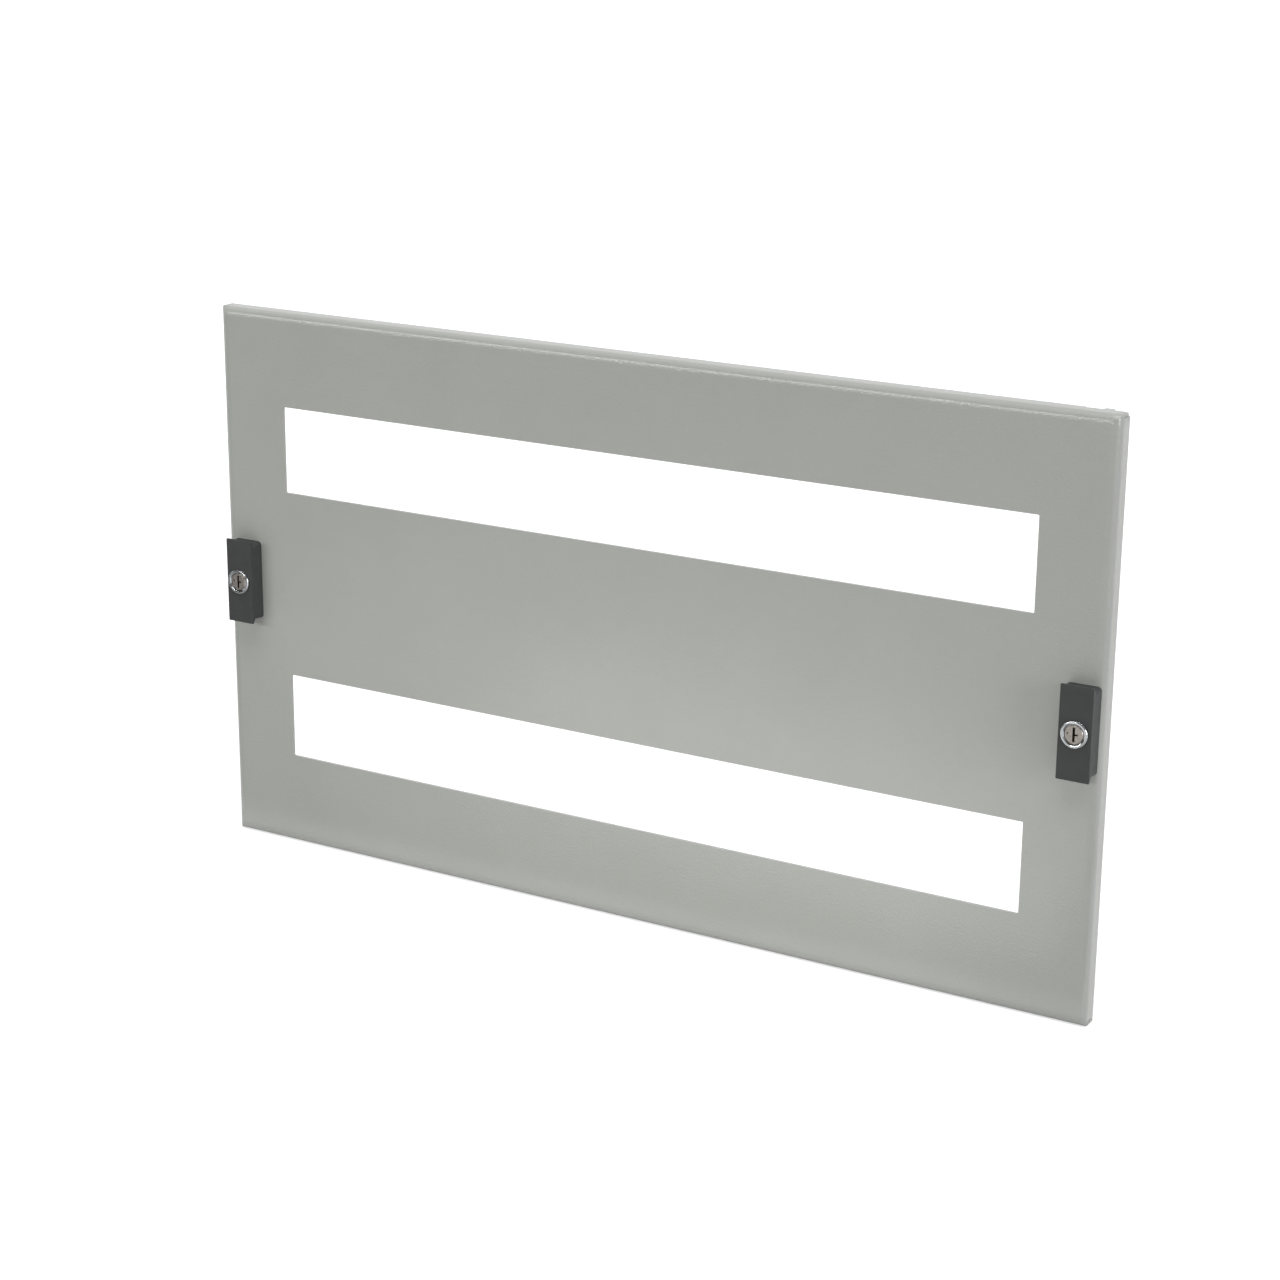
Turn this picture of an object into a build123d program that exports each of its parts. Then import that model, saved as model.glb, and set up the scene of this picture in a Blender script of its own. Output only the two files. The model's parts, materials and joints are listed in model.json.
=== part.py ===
"""Slotted cover panel for a modular distribution enclosure.

A folded steel tray with two rows of device windows, held in its frame by two key-operated
quarter-turn locks. Sizes are in millimetres. +X is to the right and +Z is up as seen from the
front, and the front faces -Y. The origin is the middle of the plane of the rim's rear edge,
which is the plane that seats on the enclosure's frame.
"""

import os
from math import cos, radians

from build123d import *

# Folded sheet
PANEL_WIDTH = 509.0
PANEL_HEIGHT = 298.5
RIM_DEPTH = 10.0
SHEET = 1.5
BEND_RADIUS = 1.5
CORNER_SLIT = 0.3

# Device windows: 24 modules of 18 mm, for device fronts 45 mm tall
MODULE_WIDTH = 18.0
MODULE_COUNT = 24
WINDOW_HEIGHT = 47.0
WINDOW_PITCH = 150.0
WINDOW_CORNER = 0.5

# Rear edge of the top flange near its right end
STEP_LENGTH = 21.0
STEP_DEPTH = 1.0
END_CUT_LENGTH = 2.5
END_CUT_DEPTH = 1.2
TAB_WIDTH = 5.0
TAB_PROUD = 1.5
TAB_CORNER = 0.8
TAB_FROM_SIDE = 10.0

# Distance of each lock from its side of the sheet: the windows are centred between the locks
LOCK_FROM_LEFT = 13.4
LOCK_FROM_RIGHT = 10.5

# Moulded lock housing
HOUSING_WIDTH = 17.4
HOUSING_HEIGHT = 43.4
HOUSING_CORNER = 2.2
HOUSING_PROUD = 9.0
HOUSING_WALL = 2.0
LIP_WIDTH = 16.5
LIP_HEIGHT = 46.4
LIP_THICKNESS = 1.0
LIP_SLOPE = 1.8
LIP_CORNER = 0.5
LIP_EDGE = 0.3
CORE_FLOOR = 1.5
PEG_DIAMETER = 3.4
PEG_PITCH = 30.0
PEG_RIB = 4.4
PEG_TIP = 0.4

# Lock barrel
BARREL_DIAMETER = 11.4
BARREL_FLATS = 10.4
BEZEL_DIAMETER = 13.4
BEZEL_THICKNESS = 1.4
BEZEL_CREST = 0.6
BEZEL_ROUND = 0.6
DISH_DEPTH = 0.5
CHANNEL_DEPTH = 0.5
STOP_SWEEP = 90.0

# Key plug
PLUG_DIAMETER = 8.4
PLUG_HEAD_DIAMETER = 9.6
PLUG_HEAD_THICKNESS = 1.3
PLUG_HEAD_EDGE = 0.5
PLUG_FACE_SET_BACK = 0.2
TAIL_SQUARE = 5.6
TAIL_DIAMETER = 7.0
KEYWAY_HEIGHT = 7.2
KEYWAY_WIDTH = 1.2
KEYWAY_WARD_REACH = 1.5
KEYWAY_WARD_HEIGHT = 0.8
DIMPLE_DIAMETER = 1.1
DIMPLE_DEPTH = 0.8
DIMPLE_X = -2.9
DIMPLE_Z = 0.45

# Wafers and their springs
WAFER_COUNT = 4
WAFER_PITCH = 2.6
WAFER_FIRST = 4.0
WAFER_THICKNESS = 0.8
WAFER_WIDTH = 4.2
WAFER_WINDOW_WIDTH = 1.8
WAFER_WINDOW_HEIGHTS = (5.2, 4.6, 5.4, 4.8)
SHELF_REACH = 1.0
WAFER_TRAVEL = 0.4
SHELF_HEIGHT = 0.8
SPRING_SPACE = 2.0
SPRING_WIRE = 0.2
SPRING_TURNS = 4

# Fasteners behind the panel
NUT_ACROSS_FLATS = 14.0
NUT_THICKNESS = 2.5
NUT_CHAMFER = 0.6
TOOTH_WASHER_DIAMETER = 15.0
TOOTH_WASHER_THICKNESS = 0.8
TOOTH_COUNT = 12
TOOTH_SLOT = 1.0
TOOTH_SLOT_DEPTH = 0.9
STOP_WASHER_THICKNESS = 1.2
CAM_THICKNESS = 2.0
CAM_REACH = 20.0
CAM_WIDTH = 13.0
CAM_EYE_DIAMETER = 15.0
CAM_CORNER = 2.5
SCREW_DIAMETER = 4.0
SCREW_GRIP = 6.0
SCREW_TIP = 0.4
SCREW_HEAD_DIAMETER = 8.0
SCREW_HEAD_HEIGHT = 2.6
RECESS_LENGTH = 4.4
RECESS_WIDTH = 1.0
RECESS_DEPTH = 1.5
RECESS_TAPER = 8.0
SCREW_HEAD_EDGE = 1.0
SPRING_WASHER_DIAMETER = 7.6
SPRING_WASHER_THICKNESS = 0.9
SPRING_WASHER_GAP = 0.8

# Fits
RUNNING_FIT = 0.05
SEAT_FIT = 0.1
END_PLAY = 0.1
STOP_PLAY = 1.5
LOCK_TURN = 90.0

# Enclosure frame that the rim seats on, gripped between the rim and the cams
FRAME_SHEET = 1.5

# Places along the depth
FRONT = -RIM_DEPTH
SHEET_BACK = FRONT + SHEET
LOCK_FACE = FRONT - HOUSING_PROUD
BEZEL_FRONT = LOCK_FACE - BEZEL_THICKNESS
PLUG_FACE = BEZEL_FRONT + PLUG_FACE_SET_BACK
PLUG_SHOULDER = PLUG_FACE + PLUG_HEAD_THICKNESS
CAM_FRONT = FRAME_SHEET + 2 * END_PLAY
CAM_BACK = CAM_FRONT + CAM_THICKNESS
BARREL_BACK = CAM_FRONT - STOP_WASHER_THICKNESS - END_PLAY
TAIL_BACK = CAM_BACK - END_PLAY

# Places across the panel and sizes that follow from the ones above
WINDOW_WIDTH = MODULE_WIDTH * MODULE_COUNT
LEFT_LOCK_X = LOCK_FROM_LEFT - PANEL_WIDTH / 2
RIGHT_LOCK_X = PANEL_WIDTH / 2 - LOCK_FROM_RIGHT
WINDOW_X = (LEFT_LOCK_X + RIGHT_LOCK_X) / 2
BORE_RADIUS = PLUG_DIAMETER / 2 + RUNNING_FIT
COUNTERBORE_RADIUS = PLUG_HEAD_DIAMETER / 2 + SEAT_FIT
CHANNEL_RADIUS = BORE_RADIUS + CHANNEL_DEPTH
STOP_INNER_RADIUS = CHANNEL_RADIUS
STOP_OUTER_RADIUS = BARREL_DIAMETER / 2 - SEAT_FIT
STOP_HEIGHT = STOP_WASHER_THICKNESS - END_PLAY
SPRING_DIAMETER = SHELF_REACH - 2 * SEAT_FIT
SCREW_HOLE_RADIUS = SCREW_DIAMETER / 2 + RUNNING_FIT


def facing(x, y):
    """A sketch plane at depth y, centred at x, that faces the front, with +Z as its upward direction."""
    return Plane(origin=(x, y, 0), x_dir=(1, 0, 0), z_dir=(0, -1, 0))


def lengthwise(x):
    """A sketch plane through a lock's axis: distance from the axis against depth."""
    return Plane(origin=(x, 0, 0), x_dir=(1, 0, 0), z_dir=(0, 0, 1))


def lock_axis(x):
    """The axis of the lock that is centred at x."""
    return Axis((x, 0, 0), (0, 1, 0))


def sector(inner_radius, outer_radius, start, sweep):
    """Part of a flat ring, as a closed sketch."""
    with BuildSketch() as section:
        with BuildLine():
            outer = CenterArc((0, 0), outer_radius, start, sweep)
            inner = CenterArc((0, 0), inner_radius, start, sweep)
            Line(inner @ 0, outer @ 0)
            Line(inner @ 1, outer @ 1)
        make_face()
    return section.sketch


def barrel_outline(clearance):
    """The barrel's round section with its two flats, made in the open sketch."""
    Circle(BARREL_DIAMETER / 2 + clearance)
    Rectangle(BARREL_FLATS + 2 * clearance, BARREL_DIAMETER + 4 * clearance, mode=Mode.INTERSECT)


def tail_section(clearance):
    """The plug tail's square section with rounded corners, as a closed sketch."""
    with BuildSketch() as section:
        Rectangle(TAIL_SQUARE + 2 * clearance, TAIL_SQUARE + 2 * clearance)
        Circle(TAIL_DIAMETER / 2 + clearance, mode=Mode.INTERSECT)
    return section.sketch


TAIL = tail_section(0)
TAIL_HOLE = tail_section(RUNNING_FIT)


# Folded panel
def make_panel():
    with BuildPart() as panel:
        # The tray: front sheet and four flanges, with rounded bends
        with BuildSketch(facing(0, FRONT)):
            Rectangle(PANEL_WIDTH, PANEL_HEIGHT)
        extrude(amount=-RIM_DEPTH)
        fillet(panel.faces().sort_by(Axis.Y)[0].edges(), BEND_RADIUS + SHEET)
        with BuildSketch(facing(0, 0)):
            Rectangle(PANEL_WIDTH - 2 * SHEET, PANEL_HEIGHT - 2 * SHEET)
        extrude(amount=RIM_DEPTH - SHEET, mode=Mode.SUBTRACT)
        inner_sheet = panel.faces().filter_by(Axis.Y).sort_by(Axis.Y)[1]
        fillet(inner_sheet.edges(), BEND_RADIUS)

        # Closed corners: the side flanges end at a slit below the top flange and above the bottom one
        slit_pitch = PANEL_HEIGHT - 2 * SHEET - CORNER_SLIT
        with BuildSketch(facing(0, 0)):
            with GridLocations(PANEL_WIDTH - SHEET, slit_pitch, 2, 2):
                Rectangle(SHEET, CORNER_SLIT)
        extrude(amount=RIM_DEPTH - BEND_RADIUS - SHEET, mode=Mode.SUBTRACT)

        # The stepped rear edge of the top flange, with its end cut at a slant, and its locating tab
        with BuildSketch(Plane.XY.offset(PANEL_HEIGHT / 2)):
            with BuildLine():
                Polyline(
                    (PANEL_WIDTH / 2 - STEP_LENGTH, 0),
                    (PANEL_WIDTH / 2 - STEP_LENGTH, -STEP_DEPTH),
                    (PANEL_WIDTH / 2 - END_CUT_LENGTH, -STEP_DEPTH),
                    (PANEL_WIDTH / 2, -STEP_DEPTH - END_CUT_DEPTH),
                    (PANEL_WIDTH / 2, 0),
                    close=True,
                )
            make_face()
        extrude(amount=-SHEET, mode=Mode.SUBTRACT)
        with BuildSketch(Plane.XY.offset(PANEL_HEIGHT / 2)):
            with Locations((PANEL_WIDTH / 2 - TAB_FROM_SIDE, TAB_PROUD)):
                tab = Rectangle(TAB_WIDTH, TAB_PROUD + 2 * STEP_DEPTH, align=(Align.CENTER, Align.MAX))
            fillet(tab.vertices().group_by(Axis.Y)[-1], TAB_CORNER)
        extrude(amount=-SHEET)

        # Device windows
        with BuildSketch(facing(WINDOW_X, FRONT)):
            with GridLocations(0, WINDOW_PITCH, 1, 2):
                RectangleRounded(WINDOW_WIDTH, WINDOW_HEIGHT, WINDOW_CORNER)
        extrude(amount=-SHEET, mode=Mode.SUBTRACT)

        # Lock holes: one for the barrel and two for the housing's pegs at each side
        for x in (LEFT_LOCK_X, RIGHT_LOCK_X):
            with BuildSketch(facing(x, FRONT)):
                barrel_outline(SEAT_FIT)
                with GridLocations(0, PEG_PITCH, 1, 2):
                    Circle(PEG_DIAMETER / 2 + SEAT_FIT)
            extrude(amount=-SHEET, mode=Mode.SUBTRACT)
    return panel.part


# Moulded lock housing
def make_housing(x):
    core_top = HOUSING_HEIGHT / 2 - HOUSING_WALL
    boss_top = BARREL_DIAMETER / 2 + HOUSING_WALL
    rib_low = PEG_PITCH / 2 - PEG_RIB / 2
    rib_high = PEG_PITCH / 2 + PEG_RIB / 2
    neck_depth = HOUSING_PROUD - LIP_THICKNESS - LIP_SLOPE
    neck_height = HOUSING_HEIGHT - HOUSING_WIDTH + LIP_WIDTH
    with BuildPart() as housing:
        # Tapered body with rounded corners, whose ends slope out to a square-cornered face plate
        with BuildSketch(facing(x, FRONT)):
            RectangleRounded(HOUSING_WIDTH, HOUSING_HEIGHT, HOUSING_CORNER)
        with BuildSketch(facing(x, FRONT - neck_depth)):
            RectangleRounded(LIP_WIDTH, neck_height, HOUSING_CORNER)
        with BuildSketch(facing(x, LOCK_FACE + LIP_THICKNESS)):
            RectangleRounded(LIP_WIDTH, LIP_HEIGHT, LIP_CORNER)
        loft(ruled=True)
        with BuildSketch(facing(x, LOCK_FACE)):
            RectangleRounded(LIP_WIDTH, LIP_HEIGHT, LIP_CORNER)
        extrude(amount=-LIP_THICKNESS)
        fillet(housing.faces().sort_by(Axis.Y)[0].edges(), LIP_EDGE)

        # Moulding cores behind, either side of the barrel boss and of the peg ribs
        with BuildSketch(facing(x, FRONT)):
            for sign in (-1, 1):
                for low, high in ((boss_top, rib_low), (rib_high, core_top)):
                    with Locations((0, sign * (low + high) / 2)):
                        Rectangle(HOUSING_WIDTH - 2 * HOUSING_WALL, high - low)
        extrude(amount=neck_depth - CORE_FLOOR, mode=Mode.SUBTRACT)

        # Bore for the barrel
        with BuildSketch(facing(x, FRONT)):
            barrel_outline(SEAT_FIT)
        extrude(amount=HOUSING_PROUD, mode=Mode.SUBTRACT)

        # Locating pegs
        with BuildSketch(facing(x, FRONT)):
            with GridLocations(0, PEG_PITCH, 1, 2):
                Circle(PEG_DIAMETER / 2)
        extrude(amount=-(SHEET + PEG_TIP))
        chamfer(housing.faces().sort_by(Axis.Y)[-2:].edges(), PEG_TIP)
    return housing.part


# Lock barrel with its polished bezel
def make_barrel(x):
    bezel = BEZEL_DIAMETER / 2
    crest = bezel - BEZEL_ROUND
    with BuildPart() as barrel:
        with BuildSketch(lengthwise(x)):
            with BuildLine():
                rim = Polyline(
                    (COUNTERBORE_RADIUS, BEZEL_FRONT + DISH_DEPTH),
                    (COUNTERBORE_RADIUS, PLUG_SHOULDER + END_PLAY),
                    (BORE_RADIUS, PLUG_SHOULDER + END_PLAY),
                    (BORE_RADIUS, BARREL_BACK),
                    (BARREL_DIAMETER / 2, BARREL_BACK),
                    (BARREL_DIAMETER / 2, LOCK_FACE),
                    (bezel, LOCK_FACE),
                    (bezel, BEZEL_FRONT + BEZEL_ROUND),
                )
                shoulder = TangentArc(rim @ 1, (crest, BEZEL_FRONT), tangent=(0, -1))
                flat = Line(shoulder @ 1, (crest - BEZEL_CREST / 2, BEZEL_FRONT))
                Line(flat @ 1, rim @ 0)
            make_face()
        revolve(axis=lock_axis(x))

        # Flats that stop the barrel turning in the housing and the panel
        for side in (-1, 1):
            with BuildSketch(facing(x, LOCK_FACE)):
                with Locations((side * BARREL_FLATS / 2, 0)):
                    Rectangle(
                        BARREL_DIAMETER,
                        BARREL_DIAMETER,
                        align=(Align.MIN if side > 0 else Align.MAX, Align.CENTER),
                    )
            extrude(amount=LOCK_FACE - BARREL_BACK, mode=Mode.SUBTRACT)

        # Channels above and below the plug, into which the wafers spring
        with BuildSketch(facing(x, BARREL_BACK)):
            Rectangle(WAFER_WIDTH + 4 * SEAT_FIT, 2 * CHANNEL_RADIUS)
        extrude(amount=BARREL_BACK - PLUG_SHOULDER - WAFER_FIRST + WAFER_THICKNESS, mode=Mode.SUBTRACT)

        # Stop lug at the back
        with BuildSketch(facing(x, BARREL_BACK)):
            add(sector(STOP_INNER_RADIUS, STOP_OUTER_RADIUS, 90 - STOP_SWEEP / 2, STOP_SWEEP))
        extrude(amount=-STOP_HEIGHT)
    return barrel.part


def wafer_depth(index):
    """The depth of the middle of one wafer."""
    return PLUG_SHOULDER + WAFER_FIRST + index * WAFER_PITCH


# Key plug
def make_plug(x):
    slot_thickness = WAFER_THICKNESS + 2 * SEAT_FIT
    keyway_length = wafer_depth(WAFER_COUNT) - PLUG_FACE
    with BuildPart() as plug:
        with BuildSketch(facing(x, PLUG_FACE)):
            Circle(PLUG_HEAD_DIAMETER / 2)
        extrude(amount=-PLUG_HEAD_THICKNESS)
        chamfer(plug.faces().sort_by(Axis.Y)[0].edges(), PLUG_HEAD_EDGE)
        with BuildSketch(facing(x, PLUG_SHOULDER)):
            Circle(PLUG_DIAMETER / 2)
        extrude(amount=PLUG_SHOULDER - BARREL_BACK)
        with BuildSketch(facing(x, BARREL_BACK)):
            add(TAIL)
        extrude(amount=BARREL_BACK - TAIL_BACK)

        # Keyway with its ward, and the index dimple in the face
        with BuildSketch(facing(x, PLUG_FACE)):
            Rectangle(KEYWAY_WIDTH, KEYWAY_HEIGHT)
            Rectangle(
                KEYWAY_WIDTH / 2 + KEYWAY_WARD_REACH,
                KEYWAY_WARD_HEIGHT,
                align=(Align.MIN, Align.CENTER),
            )
        extrude(amount=-keyway_length, mode=Mode.SUBTRACT)
        with BuildSketch(facing(x, PLUG_FACE)):
            with Locations((DIMPLE_X, DIMPLE_Z)):
                Circle(DIMPLE_DIAMETER / 2)
        extrude(amount=-DIMPLE_DEPTH, mode=Mode.SUBTRACT)

        # Wafer slots, each with a pocket for the wafer's shelf and spring
        for index in range(WAFER_COUNT):
            with BuildSketch(facing(x, wafer_depth(index) - slot_thickness / 2)):
                Rectangle(WAFER_WIDTH + 2 * SEAT_FIT, PLUG_HEAD_DIAMETER)
                with Locations((WAFER_WIDTH / 2, -SPRING_SPACE)):
                    Rectangle(
                        SHELF_REACH + SEAT_FIT,
                        SPRING_SPACE + SHELF_HEIGHT + WAFER_TRAVEL,
                        align=(Align.MIN, Align.MIN),
                    )
            extrude(amount=-slot_thickness, mode=Mode.SUBTRACT)

        # Hole for the cam screw
        with BuildSketch(facing(x, TAIL_BACK)):
            Circle(SCREW_HOLE_RADIUS)
        extrude(amount=SCREW_GRIP, mode=Mode.SUBTRACT)
    return plug.part


# Wafer, drawn level with the plug as the right key holds it
def make_wafer(x, index):
    with BuildPart() as wafer:
        with BuildSketch(facing(x, wafer_depth(index) - WAFER_THICKNESS / 2)):
            Circle(PLUG_DIAMETER / 2 - RUNNING_FIT)
            Rectangle(WAFER_WIDTH, PLUG_DIAMETER, mode=Mode.INTERSECT)
            Rectangle(SHELF_REACH + WAFER_WIDTH / 2, SHELF_HEIGHT, align=(Align.MIN, Align.MIN))
            Rectangle(WAFER_WINDOW_WIDTH, WAFER_WINDOW_HEIGHTS[index], mode=Mode.SUBTRACT)
        extrude(amount=-WAFER_THICKNESS)
    return wafer.part


# Wafer spring, a coil of square wire under the wafer's shelf
def make_wafer_spring(x, index):
    height = SPRING_SPACE - SPRING_WIRE - 2 * RUNNING_FIT
    low_end = (x + WAFER_WIDTH / 2 + SHELF_REACH / 2, wafer_depth(index), -(SPRING_SPACE + height) / 2)
    with BuildPart() as spring:
        with BuildLine(Plane(origin=low_end)) as wire:
            coil = Helix(height / SPRING_TURNS, height, (SPRING_DIAMETER - SPRING_WIRE) / 2)
        with BuildSketch(Plane(coil @ 0, z_dir=coil % 0)):
            Rectangle(SPRING_WIRE, SPRING_WIRE)
        sweep(path=wire.line)
    return spring.part


# Toothed washer between the sheet and the barrel nut
def make_tooth_washer(x):
    hole_radius = BARREL_DIAMETER / 2 + SEAT_FIT
    with BuildPart() as washer:
        with BuildSketch(facing(x, SHEET_BACK)):
            Circle(TOOTH_WASHER_DIAMETER / 2)
            Circle(hole_radius, mode=Mode.SUBTRACT)
            with PolarLocations(hole_radius, TOOTH_COUNT):
                Rectangle(2 * TOOTH_SLOT_DEPTH, TOOTH_SLOT, mode=Mode.SUBTRACT)
        extrude(amount=-TOOTH_WASHER_THICKNESS)
    return washer.part


# Hexagon nut that clamps the barrel and the housing to the sheet
def make_nut(x):
    seat = facing(x, SHEET_BACK + TOOTH_WASHER_THICKNESS)
    with BuildPart() as nut:
        with BuildSketch(seat):
            Circle(NUT_ACROSS_FLATS / 2 / cos(radians(30)))
        extrude(amount=-NUT_THICKNESS)
        chamfer(nut.faces().sort_by(Axis.Y)[-1].edges(), NUT_CHAMFER)
        with BuildSketch(seat):
            RegularPolygon(NUT_ACROSS_FLATS / 2, 6, major_radius=False)
        extrude(amount=-NUT_THICKNESS, mode=Mode.INTERSECT)
        with BuildSketch(seat):
            Circle(BARREL_DIAMETER / 2 + SEAT_FIT)
        extrude(amount=-NUT_THICKNESS, mode=Mode.SUBTRACT)
    return nut.part


# Stop washer: its tab meets the barrel's lug after a quarter turn
def make_stop_washer(x, turns_left):
    tab_sweep = 360 - STOP_SWEEP - LOCK_TURN - 2 * STOP_PLAY
    past_lug = STOP_SWEEP / 2 + STOP_PLAY
    tab_start = 90 + past_lug if turns_left else 90 - past_lug - tab_sweep
    with BuildPart() as washer:
        with BuildSketch(facing(x, BARREL_BACK + END_PLAY)):
            Circle(STOP_INNER_RADIUS - SEAT_FIT)
            add(sector(STOP_INNER_RADIUS - 2 * SEAT_FIT, STOP_OUTER_RADIUS, tab_start, tab_sweep))
            add(TAIL_HOLE, mode=Mode.SUBTRACT)
        extrude(amount=-STOP_WASHER_THICKNESS)
    return washer.part


# Cam: the tongue that turns out behind the enclosure's upright
def make_cam(x):
    with BuildPart() as cam:
        with BuildSketch(facing(x, CAM_FRONT)) as outline:
            Rectangle(CAM_WIDTH, CAM_REACH, align=(Align.CENTER, Align.MAX))
            fillet(outline.vertices().group_by(Axis.Y)[0], CAM_CORNER)
            Circle(CAM_EYE_DIAMETER / 2)
            add(TAIL_HOLE, mode=Mode.SUBTRACT)
        extrude(amount=-CAM_THICKNESS)
    return cam.part


# Split spring washer under the screw's head
def make_spring_washer(x):
    with BuildPart() as washer:
        with BuildSketch(facing(x, CAM_BACK)):
            Circle(SPRING_WASHER_DIAMETER / 2)
            Circle(SCREW_DIAMETER / 2 + SEAT_FIT, mode=Mode.SUBTRACT)
            Rectangle(
                SPRING_WASHER_GAP,
                SPRING_WASHER_DIAMETER,
                align=(Align.CENTER, Align.MIN),
                mode=Mode.SUBTRACT,
            )
        extrude(amount=-SPRING_WASHER_THICKNESS)
    return washer.part


# Cam screw, with a domed head and a cross recess
def make_screw(x):
    head_seat = CAM_BACK + SPRING_WASHER_THICKNESS
    head_back = head_seat + SCREW_HEAD_HEIGHT
    tip = TAIL_BACK - SCREW_GRIP + END_PLAY
    head_radius = SCREW_HEAD_DIAMETER / 2
    with BuildPart() as screw:
        with BuildSketch(lengthwise(x)):
            with BuildLine():
                lower = Polyline(
                    (0, tip),
                    (SCREW_DIAMETER / 2 - SCREW_TIP, tip),
                    (SCREW_DIAMETER / 2, tip + SCREW_TIP),
                    (SCREW_DIAMETER / 2, head_seat),
                    (head_radius, head_seat),
                    (head_radius, head_back - SCREW_HEAD_EDGE),
                )
                dome = TangentArc(lower @ 1, (head_radius - SCREW_HEAD_EDGE, head_back), tangent=(0, 1))
                Polyline(dome @ 1, (0, head_back), lower @ 0)
            make_face()
        revolve(axis=lock_axis(x))
        with BuildSketch(facing(x, head_back)):
            Rectangle(RECESS_LENGTH, RECESS_WIDTH)
            Rectangle(RECESS_WIDTH, RECESS_LENGTH)
        extrude(amount=RECESS_DEPTH, taper=RECESS_TAPER, mode=Mode.SUBTRACT)
    return screw.part


def save(part, name):
    """Write one finished piece under its node's name."""
    part.label = name
    export_step(part, f"parts/{name}.step")


def main():
    os.makedirs("parts", exist_ok=True)
    save(make_panel(), "front_panel")
    for hand, x in (("left", LEFT_LOCK_X), ("right", RIGHT_LOCK_X)):
        save(make_housing(x), f"{hand}_lock_housing")
        save(make_barrel(x), f"{hand}_lock_barrel")
        save(make_tooth_washer(x), f"{hand}_lock_tooth_washer")
        save(make_nut(x), f"{hand}_lock_nut")
        save(make_plug(x), f"{hand}_lock_plug")
        for index in range(WAFER_COUNT):
            save(make_wafer(x, index), f"{hand}_lock_wafer_{index + 1}")
            save(make_wafer_spring(x, index), f"{hand}_lock_wafer_spring_{index + 1}")
        save(make_stop_washer(x, hand == "right"), f"{hand}_lock_stop_washer")
        save(make_cam(x), f"{hand}_lock_cam")
        save(make_spring_washer(x), f"{hand}_lock_spring_washer")
        save(make_screw(x), f"{hand}_lock_cam_screw")


main()
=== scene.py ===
"""Looks of the slotted enclosure cover: powder-coated sheet, moulded lock housings and key locks.

Lengths are in metres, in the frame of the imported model: +X to the right and +Z up as seen from
the front, which faces -Y. Each rigid node keeps its form. All but the wafer springs get the small
rounding that paint, plating or moulding gives their edges, and all get a procedural finish. The
lock barrels get the free part of their thread.
"""

import json
from math import cos, pi, radians, sin

import bmesh
import bpy
from mathutils import Matrix, Vector

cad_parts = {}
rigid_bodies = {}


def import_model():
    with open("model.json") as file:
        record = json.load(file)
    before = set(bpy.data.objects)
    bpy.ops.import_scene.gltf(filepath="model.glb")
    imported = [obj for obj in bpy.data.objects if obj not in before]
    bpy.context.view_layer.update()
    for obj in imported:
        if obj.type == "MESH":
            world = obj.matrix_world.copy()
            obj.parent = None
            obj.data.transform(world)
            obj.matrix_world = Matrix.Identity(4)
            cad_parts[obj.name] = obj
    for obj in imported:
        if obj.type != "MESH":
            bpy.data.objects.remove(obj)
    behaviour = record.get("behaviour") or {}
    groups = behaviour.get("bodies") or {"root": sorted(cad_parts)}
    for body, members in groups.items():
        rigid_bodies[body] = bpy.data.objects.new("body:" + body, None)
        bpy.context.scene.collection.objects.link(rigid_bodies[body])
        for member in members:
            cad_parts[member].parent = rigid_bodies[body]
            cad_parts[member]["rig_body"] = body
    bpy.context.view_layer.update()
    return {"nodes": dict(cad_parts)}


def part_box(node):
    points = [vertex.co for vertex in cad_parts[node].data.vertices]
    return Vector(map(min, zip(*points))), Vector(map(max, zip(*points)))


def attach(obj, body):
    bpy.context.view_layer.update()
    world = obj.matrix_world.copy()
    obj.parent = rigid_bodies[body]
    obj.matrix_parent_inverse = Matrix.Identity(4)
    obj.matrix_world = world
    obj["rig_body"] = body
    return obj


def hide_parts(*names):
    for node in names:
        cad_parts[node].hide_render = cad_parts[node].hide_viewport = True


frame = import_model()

MM = 0.001
HANDS = ("left", "right")
WAFERS = range(1, 5)

# Camera: the place, lens and axes that bring the cover's corners onto the photograph's
CAMERA_PLACE = (0.6626, -1.1390, 0.4068)
CAMERA_LENS = 76.129
CAMERA_SENSOR = 36.0
CAMERA_RIGHT = (0.86344, 0.50438, 0.00834)
CAMERA_UP = (-0.15543, 0.25027, 0.95562)
CAMERA_BACK = (0.47991, -0.82642, 0.29449)

# Colours as they look in even light, in display values from 0 to 255
PAINT = (158, 160, 153)
PLASTIC = (59, 60, 59)
CHROME = (226, 229, 231)
NICKEL = (188, 181, 174)
ZINC = (192, 196, 202)
BRASS = (206, 172, 98)
STEEL = (150, 150, 152)

# How the flat sheet rolls into its bends: over this width from the outer face, by this drop
ROLL_WIDTH = 5.4 * MM
ROLL_DROP = 1.25 * MM

# Orange peel and finer grain of the powder coat: size and depth
PEEL = (1.25 * MM, 0.15 * MM)
GRAIN = (0.5 * MM, 0.010 * MM)

# Rounding of the sharp edges, by piece
PANEL_EDGE = 0.22 * MM
HOUSING_EDGE = 0.08 * MM
BARREL_EDGE = 0.06 * MM
PLUG_EDGE = 0.05 * MM
ZINC_EDGE = 0.08 * MM
SPRING_WASHER_EDGE = 0.05 * MM
WAFER_EDGE = 0.04 * MM

# Angles in degrees: flatter joints than the first are one face, sharper ones than the second are edges
FLAT_JOINT = 0.4
SHARP_JOINT = 30.0
WELD = 0.0005 * MM

# Thread of the lock barrels, whose ridge reaches from its crest to its root along the pitch
THREAD_PITCH = 1.0 * MM
THREAD_ROOT = 5.66 * MM
THREAD_CREST = 5.95 * MM
THREAD_FLAT = 5.18 * MM
THREAD_STEPS = 40
ROOT_REACH = 0.42
CREST_REACH = 0.08

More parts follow.
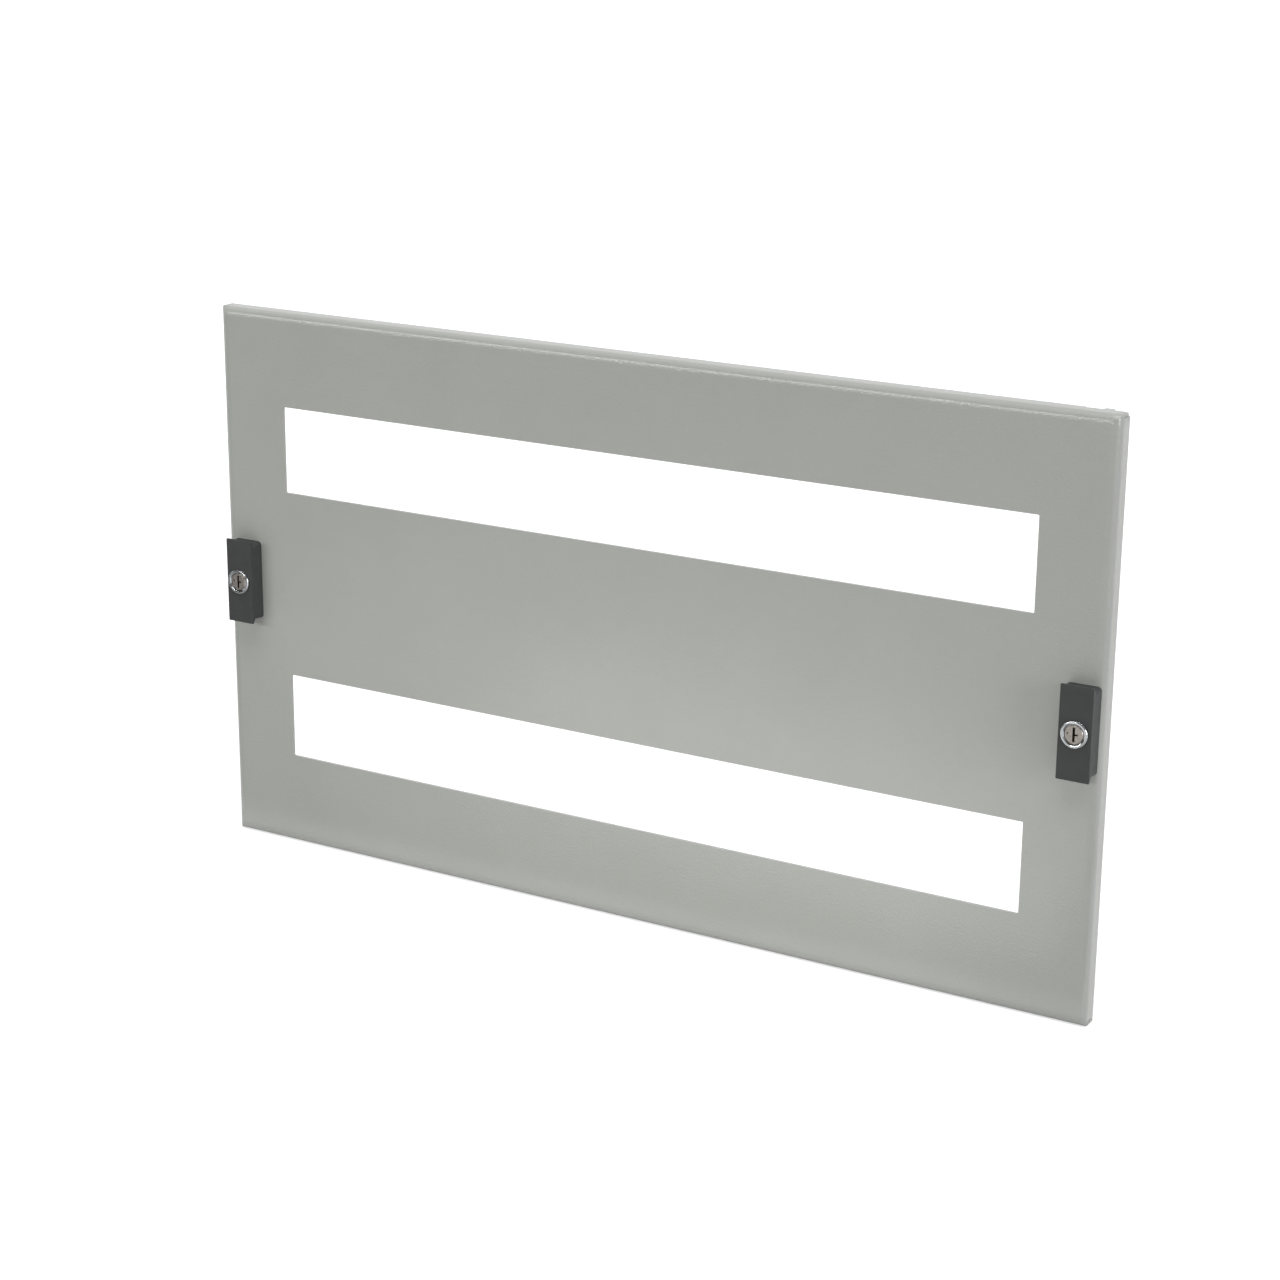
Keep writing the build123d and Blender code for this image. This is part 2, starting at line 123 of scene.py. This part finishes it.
# Light, where 1 shows a colour as it is written
SKY_LEVEL = 0.22
TOP_SUN_LEVEL = 0.78
TOP_SUN_FROM = (0.12, -0.16, 0.98)
TOP_SUN_ANGLE = 50
COOL = (1.0, 0.99, 1.05)
FLOOR_COLOUR = 0.55
FLOOR_LIFT = 0.52
FLOOR_REACH = 12.0

# Softboxes: place, size across and upright, and radiance. All aim at the cover's middle.
FRONT_BOX = ((-0.95, -1.85, 0.52), (1.7, 0.34), 7.0)
SIDE_BOX = ((3.0, -0.75, 0.45), (0.9, 1.6), 7.2)
FOOT_BOX = ((0.02, -0.13, -0.110), (0.40, 0.10), 0.66)
BACK_BOX = ((-0.6, 2.4, 0.9), (2.2, 1.2), 3.2)

# Grey cards that only reflections show. Level ones have two ends in X, two in Y and a height, and
# upright ones have the two ends of their foot and two heights. Their shade comes last.
TABLE_LEVEL = -0.146
OVERHEAD_CARD = ((-4.0, 4.0), (-3.4, 0.0), 1.6, 0.06)
TABLE_CARD = ((-1.5, 1.5), (-3.0, -0.24), TABLE_LEVEL, 0.62)
FOOT_CARD = ((-0.6, 0.6), (-0.24, -0.03), TABLE_LEVEL, 0.20)
LEFT_CARD = ((-0.62, -0.15), (-0.30, -1.10), (-0.14, 0.16), 0.04)
FRONT_CARD = ((-4.0, -3.4), (4.0, -3.4), (-0.14, 1.6), 0.22)


def linear(display):
    """A display colour of three values up to 255 as linear RGBA."""
    parts = [value / 255 for value in display]
    return [p / 12.92 if p <= 0.04045 else ((p + 0.055) / 1.055) ** 2.4 for p in parts] + [1.0]


def shaded(display, share):
    """The same colour, lighter or darker by a share."""
    return [min(1.0, value * share) for value in linear(display)[:3]] + [1.0]


class Finish:
    """A material with one Principled shader, and short calls for the nodes that feed it."""

    def __init__(self, name, metallic=0.0, specular=0.5):
        self.material = bpy.data.materials.new(name)
        self.material.use_nodes = True
        self.tree = self.material.node_tree
        self.shader = self.tree.nodes["Principled BSDF"]
        self.shader.inputs["Metallic"].default_value = metallic
        self.shader.inputs["Specular IOR Level"].default_value = specular
        self.place = self.tree.nodes.new("ShaderNodeTexCoord").outputs["Object"]

    def node(self, kind, values=None, **settings):
        made = self.tree.nodes.new(kind)
        for key, value in settings.items():
            setattr(made, key, value)
        for key, value in (values or {}).items():
            made.inputs[key].default_value = value
        return made

    def link(self, output, target):
        self.tree.links.new(output, target)

    def noise(self, size, detail=2.0, roughness=0.5, vector=None):
        """Soft noise whose features are about as large as size, in metres."""
        values = {"Scale": 1 / size, "Detail": detail, "Roughness": roughness}
        made = self.node("ShaderNodeTexNoise", values)
        self.link(vector or self.place, made.inputs["Vector"])
        return made.outputs["Fac"]

    def stretched(self, factors):
        """The object's coordinates, scaled by a factor along each axis."""
        made = self.node("ShaderNodeMapping", {"Scale": factors})
        self.link(self.place, made.inputs["Vector"])
        return made.outputs["Vector"]

    def spread(self, value, low, high, start=0.3, end=0.7):
        """A value between start and end, stretched to run from low to high."""
        made = self.node(
            "ShaderNodeMapRange", {"From Min": start, "From Max": end, "To Min": low, "To Max": high}
        )
        self.link(value, made.inputs["Value"])
        return made.outputs["Result"]

    def blend(self, factor, first, second):
        """Two colours, mixed by a factor. The second may be a node's output."""
        made = self.node("ShaderNodeMix", data_type="RGBA")
        self.link(factor, made.inputs["Factor"])
        for socket, colour in ((made.inputs[6], first), (made.inputs[7], second)):
            if isinstance(colour, list):
                socket.default_value = colour
            else:
                self.link(colour, socket)
        return made.outputs[2]

    def bump(self, height, depth, under=None):
        """Relief of a depth in metres, over another relief where one is given."""
        made = self.node("ShaderNodeBump", {"Strength": 1.0, "Distance": depth})
        self.link(height, made.inputs["Height"])
        if under is not None:
            self.link(under, made.inputs["Normal"])
        return made.outputs["Normal"]

    def finish(self, colour, roughness, normal):
        self.link(colour, self.shader.inputs["Base Color"])
        self.link(roughness, self.shader.inputs["Roughness"])
        self.link(normal, self.shader.inputs["Normal"])
        return self.material


def edge_roll(coat, axis, outer):
    """Relief that lets the flat sheet roll gently into its bends, at both ends of an axis."""
    parts = coat.node("ShaderNodeSeparateXYZ")
    coat.link(coat.place, parts.inputs[0])
    away = coat.node("ShaderNodeMath", operation="ABSOLUTE")
    coat.link(parts.outputs[axis], away.inputs[0])
    near = coat.spread(away.outputs[0], 0.0, 1.0, outer - ROLL_WIDTH, outer)
    fall = coat.node("ShaderNodeMath", {1: 2.0}, operation="POWER")
    coat.link(near, fall.inputs[0])
    return fall.outputs[0]


def powder_coat():
    """Light grey powder coat with an orange-peel skin and a faint speckle."""
    coat = Finish("panel_paint", specular=0.5)
    half_width, _, half_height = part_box("front_panel")[1]
    rolled = coat.bump(edge_roll(coat, "Z", half_height), -ROLL_DROP)
    rolled = coat.bump(edge_roll(coat, "X", half_width), -ROLL_DROP, rolled)
    cloud = coat.spread(coat.noise(45 * MM, detail=3), 0.0, 1.0)
    tone = coat.blend(cloud, shaded(PAINT, 0.985), shaded(PAINT, 1.015))
    speckle = coat.spread(coat.noise(0.7 * MM, detail=1), 0.0, 0.35, 0.6, 0.8)
    colour = coat.blend(speckle, tone, shaded(PAINT, 1.12))
    peel = coat.bump(coat.noise(PEEL[0], detail=1.0), PEEL[1], rolled)
    grain = coat.bump(coat.noise(GRAIN[0], detail=1.0), GRAIN[1], peel)
    gloss = coat.spread(coat.noise(8 * MM), 0.20, 0.26)
    return coat.finish(colour, gloss, grain)


def moulded_plastic():
    """Dark grey moulding with a fine spark-eroded grain."""
    skin = Finish("housing_plastic", specular=0.28)
    cloud = skin.spread(skin.noise(6 * MM, detail=3), 0.0, 1.0)
    colour = skin.blend(cloud, shaded(PLASTIC, 0.95), shaded(PLASTIC, 1.06))
    grain = skin.bump(skin.noise(0.28 * MM, detail=2), 0.025 * MM)
    gloss = skin.spread(skin.noise(3 * MM), 0.50, 0.60)
    return skin.finish(colour, gloss, grain)


def chrome_plate():
    """Polished chrome, with the slight waviness that plating keeps."""
    plate = Finish("bezel_chrome", metallic=1.0)
    haze = plate.spread(plate.noise(1.5 * MM, detail=3), 0.0, 1.0)
    colour = plate.blend(haze, shaded(CHROME, 0.96), shaded(CHROME, 1.0))
    wave = plate.bump(plate.noise(1.8 * MM, detail=1), 0.006 * MM)
    gloss = plate.spread(plate.noise(0.8 * MM, detail=3), 0.05, 0.12)
    return plate.finish(colour, gloss, wave)


def satin_nickel():
    """Die-cast and satin-plated plug."""
    plate = Finish("plug_nickel", metallic=1.0)
    blotch = plate.spread(plate.noise(1.1 * MM, detail=4, roughness=0.6), 0.0, 1.0)
    colour = plate.blend(blotch, shaded(NICKEL, 0.78), shaded(NICKEL, 1.05))
    grain = plate.bump(plate.noise(0.35 * MM, detail=3), 0.02 * MM)
    gloss = plate.spread(plate.noise(0.6 * MM, detail=3), 0.30, 0.45)
    return plate.finish(colour, gloss, grain)


def zinc_plate():
    """Bright zinc plate with a faint blue passivated cast."""
    plate = Finish("zinc_plate", metallic=1.0)
    spangle = plate.spread(plate.noise(2.5 * MM, detail=4, roughness=0.6), 0.0, 1.0)
    colour = plate.blend(spangle, shaded(ZINC, 0.86), shaded(ZINC, 1.04))
    grain = plate.bump(plate.noise(0.3 * MM, detail=3), 0.012 * MM)
    gloss = plate.spread(plate.noise(1.2 * MM, detail=4), 0.24, 0.40)
    return plate.finish(colour, gloss, grain)


def stamped_brass():
    """Brass sheet, drawn along its length."""
    sheet = Finish("wafer_brass", metallic=1.0)
    drawn = sheet.noise(0.2 * MM, detail=3, vector=sheet.stretched((1.0, 1.0, 0.1)))
    colour = sheet.blend(sheet.spread(drawn, 0.0, 1.0), shaded(BRASS, 0.85), shaded(BRASS, 1.05))
    grain = sheet.bump(drawn, 0.008 * MM)
    gloss = sheet.spread(sheet.noise(0.8 * MM), 0.28, 0.42)
    return sheet.finish(colour, gloss, grain)


def spring_steel():
    """Oiled spring steel."""
    wire = Finish("spring_steel", metallic=1.0)
    oil = wire.spread(wire.noise(0.8 * MM, detail=3), 0.0, 1.0)
    colour = wire.blend(oil, shaded(STEEL, 0.75), shaded(STEEL, 1.05))
    grain = wire.bump(wire.noise(0.15 * MM, detail=2), 0.006 * MM)
    gloss = wire.spread(wire.noise(0.5 * MM), 0.28, 0.45)
    return wire.finish(colour, gloss, grain)


def dress(piece, material):
    """Give a whole piece one material."""
    piece.data.materials.clear()
    piece.data.materials.append(material)


def placed(name, mesh, material, body):
    """A mesh as a piece of the object, with its material and body."""
    piece = bpy.data.objects.new(name, mesh)
    bpy.context.scene.collection.objects.link(piece)
    dress(piece, material)
    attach(piece, body)
    return piece


def corner_normals(shape):
    """A normal for each face corner: round edges shade smoothly and large flat faces stay flat."""
    for face in shape.faces:
        face.smooth = True
    shape.normal_update()
    area = {face: face.calc_area() for face in shape.faces}
    least = cos(radians(SHARP_JOINT))
    normals = []
    for face in shape.faces:
        for loop in face.loops:
            near = [f for f in loop.vert.link_faces if f.normal.dot(face.normal) > least]
            total = sum((f.normal * area[f] for f in near), face.normal * area[face])
            normals.append(total.normalized())
    return normals


def softened(node, edge, material, segments=2):
    """A node's own form with its sharp edges rounded, in place of the node."""
    source = frame["nodes"][node]
    shape = bmesh.new()
    shape.from_mesh(source.data)
    bmesh.ops.remove_doubles(shape, verts=shape.verts, dist=WELD)
    bmesh.ops.dissolve_limit(
        shape,
        angle_limit=radians(FLAT_JOINT),
        verts=shape.verts,
        edges=shape.edges,
        use_dissolve_boundaries=False,
    )
    least = radians(SHARP_JOINT)
    sharp = [e for e in shape.edges if len(e.link_faces) == 2 and e.calc_face_angle(0.0) > least]
    bmesh.ops.bevel(
        shape,
        geom=sharp,
        offset=edge,
        segments=segments,
        profile=0.5,
        affect="EDGES",
        clamp_overlap=False,
    )
    normals = corner_normals(shape)
    mesh = bpy.data.meshes.new(f"{node}_finished")
    shape.to_mesh(mesh)
    shape.free()
    mesh.normals_split_custom_set(normals)
    piece = placed(f"{node}_finished", mesh, material, source["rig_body"])
    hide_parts(node)
    return piece


def thread(hand, material):
    """The barrel's thread where it stands free of its nut, cut off at both flats."""
    low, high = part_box(f"{hand}_lock_barrel")
    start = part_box(f"{hand}_lock_nut")[1].y + THREAD_PITCH / 2
    end = high.y - THREAD_PITCH / 2
    axis_x, axis_z = (low.x + high.x) / 2, (low.z + high.z) / 2
    steps = int((end - start) / THREAD_PITCH * THREAD_STEPS)
    ridge = (
        (THREAD_ROOT, -ROOT_REACH),
        (THREAD_CREST, -CREST_REACH),
        (THREAD_CREST, CREST_REACH),
        (THREAD_ROOT, ROOT_REACH),
    )
    points, faces = [], []
    for step in range(steps + 1):
        turn = 2 * pi * step / THREAD_STEPS
        for radius, along in ridge:
            across = max(-THREAD_FLAT, min(THREAD_FLAT, radius * cos(turn)))
            depth = start + (step / THREAD_STEPS + along) * THREAD_PITCH
            points.append((axis_x + across, depth, axis_z + radius * sin(turn)))
    for step in range(steps):
        for side in range(4):
            here, there = 4 * step + side, 4 * step + (side + 1) % 4
            faces.append((here, there, there + 4, here + 4))
    faces += [(3, 2, 1, 0), tuple(4 * steps + side for side in range(4))]
    mesh = bpy.data.meshes.new(f"{hand}_lock_thread")
    mesh.from_pydata(points, [], faces)
    return placed(f"{hand}_lock_thread", mesh, material, "panel")


def seen_directly(tree, otherwise, strength):
    """One strength for what the camera sees, also in gloss or through glass, and another elsewhere."""
    path = tree.nodes.new("ShaderNodeLightPath")
    value = path.outputs["Is Camera Ray"]
    for ray in ("Is Glossy Ray", "Is Transmission Ray"):
        either = tree.nodes.new("ShaderNodeMath")
        either.operation = "MAXIMUM"
        tree.links.new(value, either.inputs[0])
        tree.links.new(path.outputs[ray], either.inputs[1])
        value = either.outputs[0]
    level = tree.nodes.new("ShaderNodeMapRange")
    level.inputs["To Min"].default_value = otherwise
    level.inputs["To Max"].default_value = strength
    tree.links.new(value, level.inputs["Value"])
    return level.outputs["Result"]


def softbox(name, place, size, radiance, colour=(1, 1, 1), mirrored=True):
    """A rectangular light that aims at the cover's middle and that the camera doesn't see."""
    light = bpy.data.lights.new(name, "AREA")
    light.shape = "RECTANGLE"
    light.size, light.size_y = size
    light.energy = radiance * 4 * size[0] * size[1]
    light.color = colour
    box = bpy.data.objects.new(name, light)
    box.location = place
    box.rotation_euler = box.location.to_track_quat("Z", "Y").to_euler()
    box.visible_camera = False
    box.visible_glossy = mirrored
    bpy.context.scene.collection.objects.link(box)


def level(across, along, height):
    """The corners of a level rectangle."""
    (left, right), (near, far) = across, along
    return (left, near, height), (right, near, height), (right, far, height), (left, far, height)


def upright(first, second, heights):
    """The corners of an upright rectangle over the line between two points."""
    low, high = heights
    return (*first, low), (*second, low), (*second, high), (*first, high)


def grey_card(name, corners, shade):
    """A flat of one even shade that polished surfaces reflect, and that shades nothing."""
    mesh = bpy.data.meshes.new(name)
    mesh.from_pydata(corners, [], [(0, 1, 2, 3)])
    card = bpy.data.objects.new(name, mesh)
    even = Finish(name, specular=0.0)
    even.shader.inputs["Base Color"].default_value = (0, 0, 0, 1)
    even.shader.inputs["Emission Color"].default_value = (1, 1, 1, 1)
    even.shader.inputs["Emission Strength"].default_value = shade
    card.data.materials.append(even.material)
    card.visible_camera = False
    card.visible_diffuse = False
    card.visible_shadow = False
    bpy.context.scene.collection.objects.link(card)


def studio():
    """White surroundings, a pale floor, soft light from above and all round, and the camera."""
    scene = bpy.context.scene
    world = bpy.data.worlds.new("studio")
    world.use_nodes = True
    scene.world = world
    background = world.node_tree.nodes["Background"]
    background.inputs["Color"].default_value = (1, 1, 1, 1)
    strength = seen_directly(world.node_tree, SKY_LEVEL, 1.0)
    world.node_tree.links.new(strength, background.inputs["Strength"])

    floor_mesh = bpy.data.meshes.new("floor")
    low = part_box("front_panel")[0].z
    reach = (-FLOOR_REACH, FLOOR_REACH)
    floor_mesh.from_pydata(level(reach, reach, low), [], [(0, 1, 2, 3)])
    floor = bpy.data.objects.new("floor", floor_mesh)
    scene.collection.objects.link(floor)
    pale = Finish("floor", specular=0.0)
    pale.shader.inputs["Base Color"].default_value = (FLOOR_COLOUR, FLOOR_COLOUR, FLOOR_COLOUR, 1)
    pale.shader.inputs["Roughness"].default_value = 0.9
    pale.shader.inputs["Emission Color"].default_value = (1, 1, 1, 1)
    pale.link(seen_directly(pale.tree, 0.0, FLOOR_LIFT), pale.shader.inputs["Emission Strength"])
    floor.data.materials.append(pale.material)

    sun = bpy.data.lights.new("top_light", "SUN")
    sun.energy = TOP_SUN_LEVEL * pi
    sun.color = COOL
    sun.angle = radians(TOP_SUN_ANGLE)
    top = bpy.data.objects.new("top_light", sun)
    top.rotation_euler = Vector(TOP_SUN_FROM).to_track_quat("Z", "Y").to_euler()
    scene.collection.objects.link(top)

    softbox("front_box", *FRONT_BOX)
    softbox("side_box", *SIDE_BOX, COOL)
    softbox("foot_box", *FOOT_BOX)
    softbox("back_box", *BACK_BOX, mirrored=False)
    grey_card("overhead_card", level(*OVERHEAD_CARD[:3]), OVERHEAD_CARD[3])
    grey_card("left_card", upright(*LEFT_CARD[:3]), LEFT_CARD[3])
    grey_card("table_card", level(*TABLE_CARD[:3]), TABLE_CARD[3])
    grey_card("foot_card", level(*FOOT_CARD[:3]), FOOT_CARD[3])
    grey_card("front_card", upright(*FRONT_CARD[:3]), FRONT_CARD[3])

    lens = bpy.data.cameras.new("camera")
    lens.sensor_width = CAMERA_SENSOR
    lens.lens = CAMERA_LENS
    lens.clip_start = 0.01
    lens.clip_end = 100.0
    camera = bpy.data.objects.new("camera", lens)
    axes = Matrix((CAMERA_RIGHT, CAMERA_UP, CAMERA_BACK)).transposed()
    camera.matrix_world = Matrix.Translation(CAMERA_PLACE) @ axes.to_4x4()
    scene.collection.objects.link(camera)
    scene.camera = camera
    scene.view_settings.view_transform = "Standard"


paint = powder_coat()
plastic = moulded_plastic()
chrome = chrome_plate()
nickel = satin_nickel()
zinc = zinc_plate()
brass = stamped_brass()
steel = spring_steel()

softened("front_panel", PANEL_EDGE, paint, segments=3)
for hand in HANDS:
    softened(f"{hand}_lock_housing", HOUSING_EDGE, plastic, segments=3)
    softened(f"{hand}_lock_barrel", BARREL_EDGE, chrome)
    thread(hand, chrome)
    softened(f"{hand}_lock_plug", PLUG_EDGE, nickel)
    for name in ("tooth_washer", "nut", "stop_washer", "cam", "cam_screw"):
        softened(f"{hand}_lock_{name}", ZINC_EDGE, zinc)
    softened(f"{hand}_lock_spring_washer", SPRING_WASHER_EDGE, steel)
    for number in WAFERS:
        softened(f"{hand}_lock_wafer_{number}", WAFER_EDGE, brass)
        dress(frame["nodes"][f"{hand}_lock_wafer_spring_{number}"], steel)

studio()
